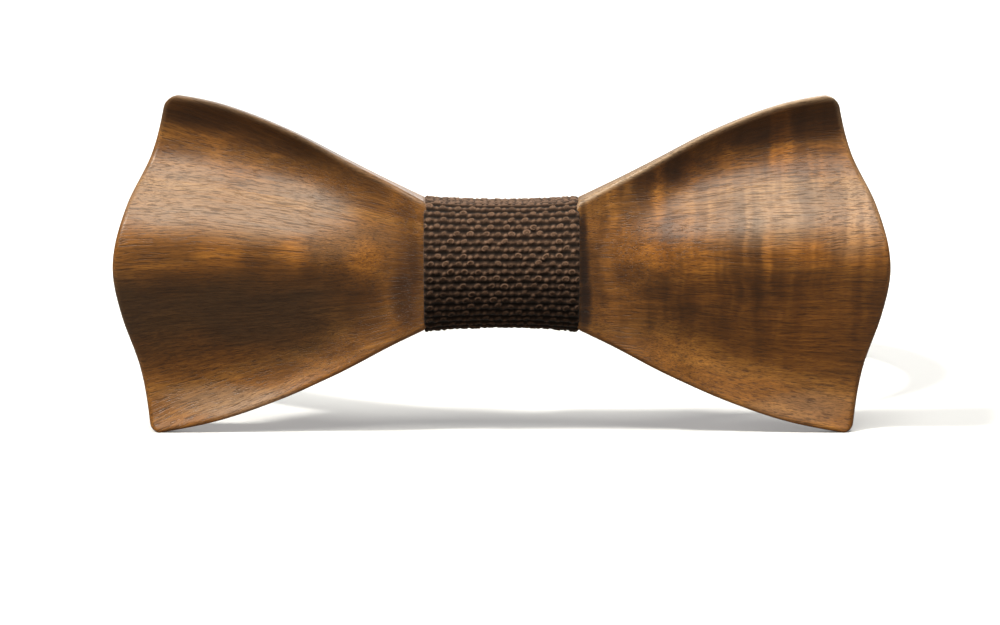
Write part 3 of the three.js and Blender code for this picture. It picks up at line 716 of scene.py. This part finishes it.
def make_wrap(material):
    count = int(WRAP_LENGTH / WEAVE_STEP)
    section, normal, at, girth = wrap_section(count)
    half = WRAP_HALF + SWELL
    # across the cloth: the outer face, a turned edge, the inner face and the other turned edge
    outer = np.arange(-half + HEM_ROUND, half - HEM_ROUND + 1e-6, WEAVE_STEP)
    turn = np.linspace(0, np.pi, 16)[1:-1]
    inner = np.linspace(half - HEM_ROUND, -half + HEM_ROUND, 24)
    edge_x = half - HEM_ROUND + HEM_ROUND * np.sin(turn)
    drop = HEM_ROUND * (1 - np.cos(turn))
    x = np.concatenate([outer, edge_x, inner, -edge_x[::-1]])
    sink = np.concatenate([0 * outer, drop, 0 * inner + WRAP_CLOTH, drop[::-1]])
    woven_share = np.concatenate([np.ones_like(outer), np.cos(turn / 2), 0 * inner, np.cos(turn[::-1] / 2)])
    is_inner = sink > 1.5 * HEM_ROUND
    flare = side_flare(x, half)
    flare = np.where(is_inner, np.minimum(flare, 0.05), flare)
    weave = weave_height(x[None, :], at[:, None], girth) * woven_share[None, :]
    # the back lies flat against the collar
    back = smoothstep(-section[:, 0], 3.0, 0.5)[:, None]
    lap = LAP * (np.exp(-at / 2.2) - 0.25 * np.exp(-(girth - at) / 1.0))[:, None] * ~is_inner
    offset = flare[None, :] - sink[None, :] + lap + WEAVE_DEPTH * (weave - 1) * woven_share
    offset = offset - np.maximum(flare[None, :] + 0.05, 0) * back * ~is_inner
    points = np.empty((count, len(x), 3))
    points[..., 0] = x[None, :]
    points[..., 1] = section[:, None, 0] + normal[:, None, 0] * offset
    points[..., 2] = section[:, None, 1] + normal[:, None, 1] * offset
    faces = grid_faces(count, len(x), True, True)
    # painted shade: the cloth is darkest where it turns in under the knot
    shade = smoothstep(-points[..., 2], -5.0, WRAP_HEIGHT - 0.6) * smoothstep(-points[..., 1], 2.0, 8.0)
    attributes = {"lift": weave, "shade": shade}
    wrap = make_object("woven_wrap", points.reshape(-1, 3), faces, material, attributes=attributes)
    tidy_normals(wrap)
    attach(wrap, "bow")
    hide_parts("knot_wrap")


# ---------------- the neck strap
RIB = 0.85 # from one rib to the next
RIB_STEPS = 6
RIB_DEPTH = 0.13
TAPE_HALF = TAPE / 2
SELVEDGE = 0.85
LEAN_BACK_FROM = 40 # how far back a tape certainly leans with the loop
# places round the loop, in degrees: where an arm's flex starts and ends, and where the eye's feed begins
FLEX_ANGLE = -45.0
FLEX_HALF = 14.0
FEED_ANGLE = 0.0


def degrees(length):
    """The angle that a length takes up round the loop."""
    return math.degrees(length / LOOP_RADIUS)


def on_loop(angle, offset=0.0):
    """Places round the loop in plan, offset outwards."""
    turn = np.radians(angle)
    radius = LOOP_RADIUS + offset
    return np.stack(np.broadcast_arrays(radius * np.cos(turn), LOOP_CENTRE + radius * np.sin(turn)), -1)


def lean_back(plan, up, lean=DROOP):
    """Points in the part's frame, from places on the strap in plan and heights up the tape."""
    back = plan[..., 1]
    y = TAPE_Y + back * math.cos(DROOP) + up * np.sin(lean)
    z = up * np.cos(lean) - back * math.sin(DROOP)
    return np.stack(np.broadcast_arrays(plan[..., 0], y, z), -1)


def place_on_loop(angle, side=1):
    """A place on the loop in metres, on the eye's side, or the hook's where side is -1."""
    return Vector(lean_back(on_loop(angle) * (side, 1), 0.0) * MM)


def front_path():
    """From the middle of the neck to where the loop starts, in plan, and the angle where it starts."""
    joins = math.degrees(math.atan2(TURN_RADIUS - LOOP_CENTRE, STRAIGHT))
    straight = np.stack([np.linspace(0, STRAIGHT, 30, endpoint=False), np.zeros(30)], -1)
    bend = np.radians(np.linspace(0, 90 + joins, 40, endpoint=False))
    turn = np.stack([STRAIGHT + TURN_RADIUS * np.sin(bend), TURN_RADIUS * (1 - np.cos(bend))], -1)
    return np.concatenate([straight, turn]), joins


def arc(start, end, offset=0.0):
    """A path round the loop from one angle to another."""
    return on_loop(np.linspace(start, end, max(int(abs(end - start) * 2), 4)), offset)


def fold_path(angle, offset, back, length):
    """The tape's turn round a bar, then back down on to the layer below it."""
    turn = np.linspace(0, np.pi, 30)
    round_bar = on_loop(angle - back * np.degrees(BAR_OFFSET * np.sin(turn) / LOOP_RADIUS),
                        offset + BAR_OFFSET * (1 - np.cos(turn)))
    landed = offset + RETURN_OFFSET
    along = np.linspace(0, 1, 24)[1:]
    down = on_loop(angle + back * degrees(FOLD_SLOPE) * along,
                   offset + 2 * BAR_OFFSET + (landed - offset - 2 * BAR_OFFSET) * smoothstep(along, 0, 1))
    path = [round_bar, down]
    if length > FOLD_SLOPE:
        path.append(arc(angle + back * degrees(FOLD_SLOPE), angle + back * degrees(length), landed)[1:])
    return np.concatenate(path)


def tape_profile():
    """The tape's section: places across it, how much of the half-thickness it has there, and which face."""
    inner = np.linspace(-TAPE_WIDTH / 2 + SELVEDGE, TAPE_WIDTH / 2 - SELVEDGE, 24)
    bead = np.linspace(0, np.pi, 9)[1:-1]
    across = TAPE_WIDTH / 2 - SELVEDGE / 2 + SELVEDGE / 2 * -np.cos(bead)
    thick = 0.80 * np.sin(bead) ** 0.6
    face_w = np.concatenate([-across[::-1], inner, across])
    face_t = np.concatenate([thick[::-1], np.ones_like(inner), thick])
    face_t[[6, -7]] = np.maximum(face_t[[6, -7]], 0.6)
    side = TAPE_WIDTH / 2
    w = np.concatenate([face_w, [side], face_w[::-1], [-side]])
    t = np.concatenate([face_t, [0], -face_t[::-1], [0]])
    return w, t


def make_tape(name, path, side, material, rib_start=0.0):
    """A ribbed tape along a path in plan. Returns the piece and its length in millimetres."""
    step = np.linalg.norm(np.diff(path, axis=0), axis=1)
    path = path[np.concatenate([[True], step > 1e-6])]
    length = distances(path)
    stations = int(round(length[-1] / RIB * RIB_STEPS)) + 1
    at = np.linspace(0, length[-1], stations)
    plan = np.stack([np.interp(at, length, path[:, k]) for k in (0, 1)], -1)
    tangent = np.gradient(plan, at, axis=0)
    tangent[1:-1] = (tangent[:-2] + tangent[1:-1] * 2 + tangent[2:]) / 4
    tangent = unit(tangent)
    normal = np.stack([tangent[:, 1], -tangent[:, 0]], -1)
    # the tape is upright behind the waist and leans back with the loop beyond it
    lean = DROOP * np.maximum(smoothstep(plan[:, 0], STRAIGHT, 2 * STRAIGHT), plan[:, 1] > LEAN_BACK_FROM)
    w, t = tape_profile()
    rib = np.abs(np.sin(np.pi * (at / RIB + rib_start))) ** 0.7
    selvedge = np.abs(w) > TAPE_WIDTH / 2 - SELVEDGE * 0.9
    relief = np.where(selvedge[None, :], 0.5, 1.0) * RIB_DEPTH * (rib[:, None] - 1)
    offset = np.sign(t)[None, :] * (TAPE_HALF * np.abs(t)[None, :] + relief * (np.abs(t) > 0.3))
    width = w[None, :] * (1 - 0.012 * (1 - rib[:, None]) * selvedge[None, :])
    spread = plan[:, None, :] + normal[:, None, :] * offset[..., None]
    spread = spread * np.array([side, 1])
    points = lean_back(spread, width, lean[:, None])
    # painted shade in the hollows between the ribs; the selvedges are a little darker and the thin edges
    # mid-tone
    lift = np.where(t[None, :] == 0, 0.5, rib[:, None]) * np.where(selvedge[None, :], 0.85, 1)
    faces = tube_faces(stations, len(w))
    tape = make_object(name, points.reshape(-1, 3), faces, material, attributes={"lift": lift})
    tidy_normals(tape)
    return tape, length[-1]


def make_strap(material):
    """One tape in four pieces."""
    front, joins = front_path()
    start, end = FLEX_ANGLE - FLEX_HALF, FLEX_ANGLE + FLEX_HALF

    path = np.concatenate([front, arc(joins, HOOK_ANGLE), fold_path(HOOK_ANGLE, 0, -1, FOLD_LENGTH)[1:]])
    left, left_length = make_tape("tape_hook_side", path, -1, material)
    place_on_loop(start, side=-1)
    place_on_loop(end, side=-1)
    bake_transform(left)
    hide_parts("strap_front", "strap_hook_arm", "hook_fold")

    path = np.concatenate([front, arc(joins, FEED_ANGLE)])
    right, right_length = make_tape("tape_eye_side", path, 1, material)
    place_on_loop(start)
    place_on_loop(end)
    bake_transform(right)
    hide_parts("strap_front", "strap_eye_arm")

    landing = EYE_ANGLE - degrees(FOLD_SLOPE)
    path = np.concatenate([arc(FEED_ANGLE, EYE_ANGLE), fold_path(EYE_ANGLE, 0, -1, FOLD_SLOPE)[1:]])
    feed, feed_length = make_tape("tape_round_eye", path, 1, material, right_length / RIB)
    place_on_loop(FEED_ANGLE + 3)
    place_on_loop(landing - 1)
    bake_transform(feed)
    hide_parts("strap_eye_arm", "strap_feed", "eye_fold")

    turned = fold_path(SLIDER_ANGLE, RETURN_OFFSET, 1, FOLD_LENGTH)
    path = np.concatenate([arc(landing, SLIDER_ANGLE, RETURN_OFFSET), turned[1:]])
    back, back_length = make_tape("tape_to_slider", path, 1, material, (right_length + feed_length) / RIB)
    sewn_end = SLIDER_ANGLE + degrees(FOLD_LENGTH)
    place_on_loop(sewn_end)
    place_on_loop(landing - 1)
    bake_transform(back)
    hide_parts("adjust_loop", "slider_fold")


# ---------------- stitches
STITCH_RADIUS = 0.19
SEAM_RAISE = 0.02
SEAM_MARGIN = 1.6
ZIGZAG_TURNS = 13
ZIGZAG_HALF = 1.2
WHIP_STITCHES = 15


def stitch(start, end, out, rise=0.22, dive=0.35, sides=8, steps=7):
    """One stitch of thread: a short arched tube whose ends dive into the cloth."""
    start, end, out = (np.array(v, float) for v in (start, end, out))
    t = np.linspace(0, 1, steps + 1)[:, None]
    height = (rise + dive) * np.sin(np.pi * t) ** 0.6 - dive
    line = start + (end - start) * t + out * height
    tangent = unit(np.gradient(line, axis=0))
    across = unit(np.cross(tangent, out))
    up = np.cross(across, tangent)
    turn = np.linspace(0, 2 * np.pi, sides, endpoint=False)[None, :, None]
    ring = np.cos(turn) * across[:, None, :] + np.sin(turn) * up[:, None, :]
    points = line[:, None, :] + STITCH_RADIUS * ring
    return points.reshape(-1, 3), tube_faces(steps + 1, sides)


def make_seam(name, stitches, material, body, node):
    seam = make_object(name, *joined(stitches), material)
    tidy_normals(seam)
    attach(seam, body)
    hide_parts(node)


def tape_seam(name, angle, layer, side, material, body, node):
    """A zigzag up the tape's outer face, with a straight row on each side of it."""
    surface = layer + TAPE_HALF + SEAM_RAISE
    radial = np.radians(angle)
    outward = np.array([side * math.cos(radial), math.sin(radial)])
    out = lean_back(outward, 0.0) - lean_back(np.zeros(2), 0.0)

    def at(along, up):
        return lean_back(on_loop(angle + degrees(along), surface) * (side, 1), up)

    half = TAPE_WIDTH / 2 - SEAM_MARGIN
    ups = np.linspace(-half, half, ZIGZAG_TURNS + 1)
    spans = list(zip(ups[:-1], ups[1:]))
    stitches = []
    for i, (low, high) in enumerate(spans):
        swing = ZIGZAG_HALF * (-1) ** i
        stitches.append(stitch(at(swing, low), at(-swing, high), out))
    for row in (-2 * ZIGZAG_HALF, 2 * ZIGZAG_HALF):
        for low, high in spans:
            gap = 0.08 * (high - low)
            stitches.append(stitch(at(row, low + gap), at(row, high - gap), out))
    make_seam(name, stitches, material, body, node)


def make_stitches(material):
    """The slanting stitches that close the wrap under the waist, and the seams of the two folds."""
    length = 2 * WRAP_HALF - 2.2
    low = -WRAP_HEIGHT - 0.1
    stitches = []
    for i in range(WHIP_STITCHES):
        x = (i + 0.5) / WHIP_STITCHES * length - length / 2 + rng.normal(0, 0.06)
        flare = side_flare(x, WRAP_HALF)
        ends = [(x - 0.55, -6.1, low - flare - 0.1), (x + 0.45, -3.9, low - flare + 0.15)]
        stitches.append(stitch(*ends, (0, 0, -1), rise=0.12))
    make_seam("whip_stitches", stitches, material, "bow", "knot_thread")
    hook_seam, slider_seam = HOOK_ANGLE - degrees(SEAM_BACK), SLIDER_ANGLE + degrees(SEAM_BACK)
    tape_seam("hook_stitches", hook_seam, RETURN_OFFSET, -1, material, "hook_arm", "hook_thread")
    tape_seam("slider_stitches", slider_seam, 2 * RETURN_OFFSET, 1, material, "slider", "slider_thread")


# ---------------- the clasp
METAL = 1.2 # its thickness
CLASP_HEIGHT = 19.5
SLOT_HEIGHT = 16.0
TAPE_SLOT = 3.0 # where the tape's slot ends, from the bar's middle
HOOK_SLOT = 11.0
BAR_HALF = 0.6
EYE_LENGTH = 9.0
HOOK_PLATE = 5.5
TONGUE_WIDTH = 8.0
TONGUE_REACH = 9.0
TONGUE_RADIUS = 1.6
SLIDER_HALF = 5.5
SLIDER_LOW = -1.7
SLIDER_HEIGHT = 18.4
SLIDER_CORNER = 0.5
RAIL = 1.25 # the thickness of its two cheeks


def rounded_outline(x0, x1, y0, y1, radius, steps=6):
    """A rectangle with round corners, as a list of points."""
    corners = [(x1, y1, 0), (x0, y1, 90), (x0, y0, 180), (x1, y0, 270)]
    outline = []
    for x, y, start in corners:
        cx = x - radius if x == x1 else x + radius
        cy = y - radius if y == y1 else y + radius
        for i in range(steps + 1):
            turn = math.radians(start + 90 * i / steps)
            outline.append((cx + radius * math.cos(turn), cy + radius * math.sin(turn)))
    return outline


def plate_points(outlines, thickness, edge=0.22):
    """A flat plate with holes and rolled edges: its points, with the thickness along z, and its faces."""
    curve = bpy.data.curves.new("plate", "CURVE")
    curve.dimensions = "2D"
    curve.fill_mode = "BOTH"
    curve.extrude = thickness / 2 - edge
    curve.bevel_depth = edge
    curve.bevel_resolution = 3
    curve.offset = -edge
    for outline in outlines:
        spline = curve.splines.new("POLY")
        spline.points.add(len(outline) - 1)
        spline.use_cyclic_u = True
        for point, (x, y) in zip(spline.points, outline):
            point.co = (x, y, 0, 1)
    holder = bpy.data.objects.new("plate", curve)
    bpy.context.scene.collection.objects.link(holder)
    mesh = bpy.data.meshes.new_from_object(holder.evaluated_get(bpy.context.evaluated_depsgraph_get()))
    points = np.array([v.co for v in mesh.vertices])
    faces = [tuple(p.vertices) for p in mesh.polygons]
    bpy.data.objects.remove(holder)
    bpy.data.curves.remove(curve)
    bpy.data.meshes.remove(mesh)
    return points, faces


def bar_points(start, end, radii, sides=24, round_over=0.25):
    """A straight bar with an oval section and rounded ends."""
    start, end = np.array(start, float), np.array(end, float)
    axis = (end - start) / np.linalg.norm(end - start)
    first = np.array([1.0, 0, 0]) if abs(axis[0]) < 0.5 else np.array([0, 1.0, 0])
    second = np.cross(axis, first)
    turn = np.linspace(0, 2 * np.pi, sides, endpoint=False)
    oval = np.cos(turn)[:, None] * first * radii[0] + np.sin(turn)[:, None] * second * radii[1]
    inset = 1 - np.sin(np.linspace(0, np.pi / 2, 5))
    rings = [(start + axis * round_over * d, 1 - 0.5 * d) for d in inset]
    rings += [(end - axis * round_over * d, 1 - 0.5 * d) for d in inset[::-1]]
    points = np.concatenate([centre + oval * scale for centre, scale in rings])
    return points, tube_faces(len(rings), sides)


def tongue_points():
    """The hook's tongue: a strip that curls back on itself and narrows to a round tip."""
    turn = np.linspace(0, np.pi, 24)
    line = [(HOOK_PLATE - 1, 0), (HOOK_PLATE + 1, 0)]
    line += [(TONGUE_REACH + TONGUE_RADIUS * math.sin(a), TONGUE_RADIUS * (1 - math.cos(a))) for a in turn]
    tip = np.linspace(TONGUE_REACH - 0.3, HOOK_PLATE, 16)
    line += [(x, 2 * TONGUE_RADIUS - 0.25 * smoothstep(x, TONGUE_REACH, HOOK_PLATE + 1)) for x in tip]
    line = np.array(line, float)
    tangent = unit(np.gradient(line, axis=0))
    normal = np.stack([-tangent[:, 1], tangent[:, 0]], -1)
    narrow = np.ones(len(line))
    reach = np.clip((line[-16:, 0] - HOOK_PLATE) / (TONGUE_WIDTH / 2), 0, 1)
    narrow[-16:] = np.sqrt(np.clip(1 - (1 - reach) ** 2, 0.02, 1))
    side = np.linspace(0, np.pi, 7)
    half_w, half_t = TONGUE_WIDTH / 2, (METAL - 0.2) / 2
    edge = half_w - half_t + half_t * np.sin(side)
    w = np.concatenate([edge, -edge])
    t = np.concatenate([half_t * np.cos(side), -half_t * np.cos(side)])
    rings = []
    for place, out, share in zip(line, normal, narrow):
        rings.append(np.stack([place[0] + out[0] * t, place[1] + out[1] * t, w * share], -1))
    return np.concatenate(rings), tube_faces(len(rings), len(w))


def upright(shape):
    """Turns a plate drawn in x and z, thick along y."""
    points, faces = shape
    return np.stack([points[:, 0], -points[:, 2], points[:, 1]], -1), faces


def make_metal(name, shapes, place, material, body, node, flip=1):
    """A metal piece from shapes drawn at the origin, set on the loop at an angle, an offset and a side."""
    angle, offset, side = place
    points, faces = joined(shapes)
    local = points * (flip, flip, 1)
    turn = math.radians(side * (angle - 90))
    centre = on_loop(angle, offset) * (side, 1)
    plan = np.stack([
        centre[0] + local[:, 0] * math.cos(turn) - local[:, 1] * math.sin(turn),
        centre[1] + local[:, 0] * math.sin(turn) + local[:, 1] * math.cos(turn),
    ], -1)
    metal = make_object(name, lean_back(plan, local[:, 2]), faces, material)
    tidy_normals(metal)
    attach(metal, body)
    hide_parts(node)


def make_clasp(material):
    """The hook and the eye, flat plates with a slot for the tape, and the slider."""
    half, slot = CLASP_HEIGHT / 2, SLOT_HEIGHT / 2
    tape_hole = rounded_outline(BAR_HALF, TAPE_SLOT, -slot, slot, 0.9)
    hook_hole = rounded_outline(TAPE_SLOT + 1.3, EYE_LENGTH - 1.5, -HOOK_SLOT / 2, HOOK_SLOT / 2, 1.2)
    plate = plate_points([rounded_outline(-BAR_HALF, HOOK_PLATE, -half, half, 0.9), tape_hole], METAL)
    hook_place = (HOOK_ANGLE, BAR_OFFSET, -1)
    make_metal("hook_clasp", [upright(plate), tongue_points()], hook_place, material, "hook", "hook")
    outline = rounded_outline(-BAR_HALF, EYE_LENGTH, -half, half, 1.2)
    plate = plate_points([outline, tape_hole, hook_hole], METAL)
    make_metal("eye_clasp", [upright(plate)], (EYE_ANGLE, BAR_OFFSET, 1), material, "eye", "eye", flip=-1)

    # two arched cheeks, joined by three bars
    top = RETURN_OFFSET + BAR_OFFSET + BAR_HALF
    flat = SLIDER_HALF - SLIDER_CORNER
    arch = np.linspace(-flat, flat, 21)
    crown = top - (top - SLIDER_LOW - 1) * (np.abs(arch) / SLIDER_HALF) ** 2.2
    rail = [(-flat, SLIDER_LOW), (flat, SLIDER_LOW), (SLIDER_HALF, SLIDER_LOW + SLIDER_CORNER)]
    rail += list(zip(arch[::-1], crown[::-1])) + [(-SLIDER_HALF, SLIDER_LOW + SLIDER_CORNER)]
    shapes = []
    for end in (-1, 1):
        points, faces = plate_points([rail], RAIL)
        shapes.append((points + (0, 0, end * (SLIDER_HEIGHT - RAIL) / 2), faces))
    reach = SLIDER_HEIGHT / 2 - 0.2
    for x in (-SLIDER_HALF + 0.8, SLIDER_HALF - 0.8):
        shapes.append(bar_points((x, SLIDER_LOW + 0.4, -reach), (x, SLIDER_LOW + 0.4, reach), (0.8, 0.4)))
    height = RETURN_OFFSET + BAR_OFFSET
    shapes.append(bar_points((0, height, -reach), (0, height, reach), (BAR_HALF, BAR_HALF)))
    make_metal("size_slider", shapes, (SLIDER_ANGLE, 0, 1), material, "slider", "slider")


# ---------------- the build
make_camera()
make_studio()
floor = make_object("floor", FLOOR, [(0, 1, 2, 3)], pale_floor(), smooth=False)
floor.location.z = FLOOR_Z

make_bow(walnut())
make_wrap(woven("knot_cloth", *KNOT_COLOURS, KNOT_YARN))
make_strap(woven("strap_tape", *TAPE_COLOURS, TAPE_YARN))
make_stitches(sewing_thread())
make_clasp(plated())
